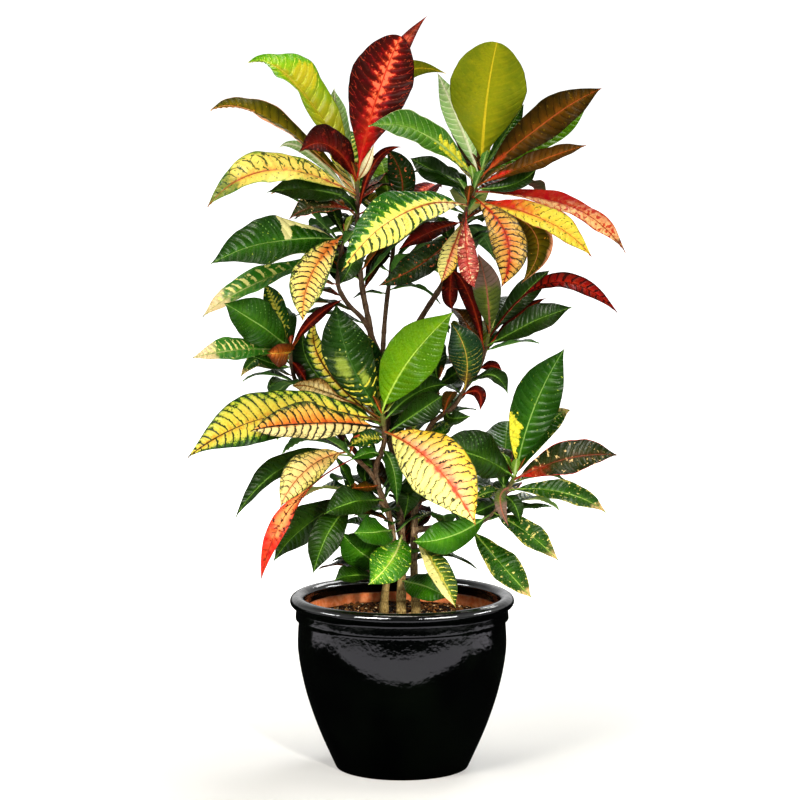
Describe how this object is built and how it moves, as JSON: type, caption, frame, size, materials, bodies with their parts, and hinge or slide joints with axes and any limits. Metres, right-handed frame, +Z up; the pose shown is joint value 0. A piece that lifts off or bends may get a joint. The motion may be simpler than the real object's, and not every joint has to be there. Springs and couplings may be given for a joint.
{
  "type": "potted croton",
  "caption": "Bushy potted croton: three stems with broad patterned leaves, in soil in a round glazed pot with a rolled rim.",
  "frame": {"origin": "centre of the pot's flat underside", "axes": "+Z up along the pot's axis, -Y towards the front, +X to the right seen from the front"},
  "size_m": [0.5147, 0.3308, 0.9025],
  "materials": {
    "glaze": "black gloss glaze over terracotta",
    "soil": "loose dark potting soil with pale crumbs",
    "foliage_left": "waxy leaves, green, yellow and orange",
    "foliage_middle": "waxy leaves, maroon, green and yellow",
    "foliage_right": "waxy leaves, olive, brown, green and red"
  },
  "bodies": {
    "root": {"pot": "glaze", "soil": "soil", "plant_left": "foliage_left", "plant_middle": "foliage_middle", "plant_right": "foliage_right"}
  },
  "joints": []
}
